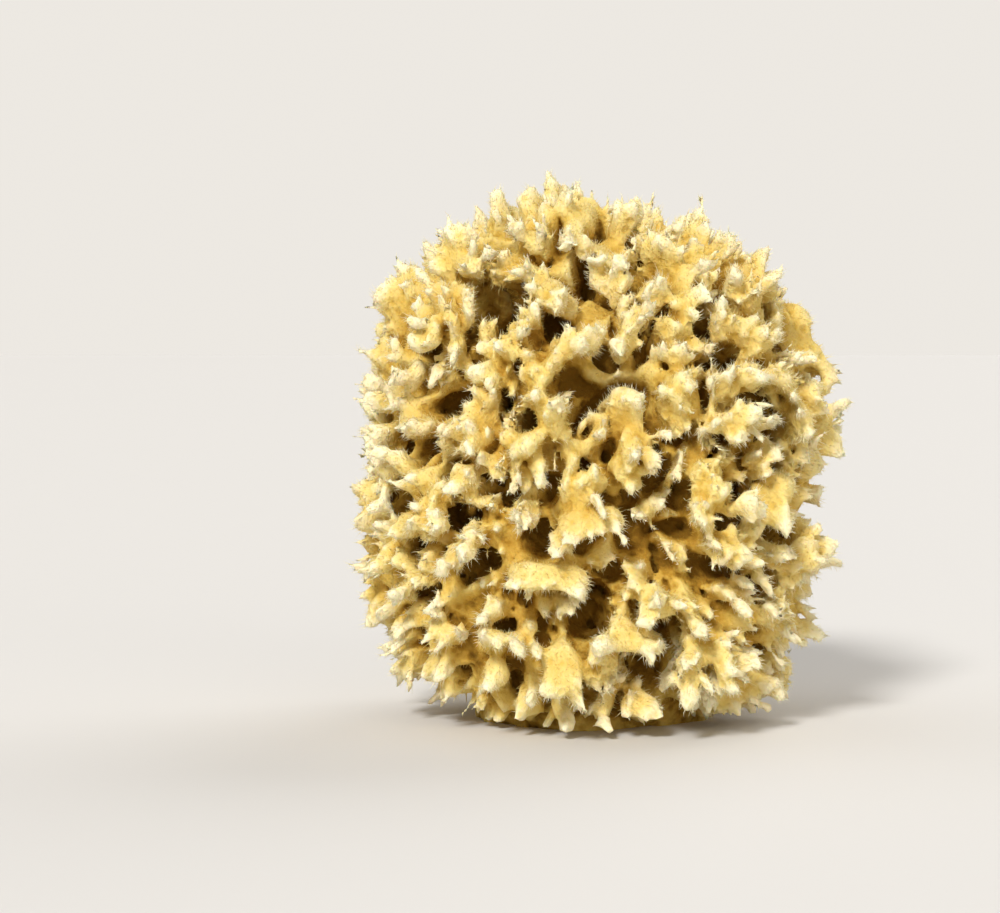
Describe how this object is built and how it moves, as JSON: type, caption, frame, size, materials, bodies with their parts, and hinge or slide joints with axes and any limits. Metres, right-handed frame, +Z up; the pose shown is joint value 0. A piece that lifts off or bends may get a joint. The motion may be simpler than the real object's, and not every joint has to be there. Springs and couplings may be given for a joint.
{
  "type": "natural sponge",
  "caption": "Round natural wool sponge: a soft mass of frayed tufts and ridges with deep cavities between them, cut off flat at its base.",
  "frame": {"origin": "the middle of the flat cut at the base, on the surface that the sponge rests on", "axes": "+Z up, away from the cut; -Y towards the front; +X to the right as seen from the front"},
  "size_m": [0.0944, 0.0924, 0.1024],
  "materials": {
    "sponge_fibre": "dry, pale cream-yellow spongin fibre, near white and frayed at the tips, deep golden brown in the hollows"
  },
  "bodies": {
    "root": {"sponge": "sponge_fibre"}
  },
  "joints": []
}
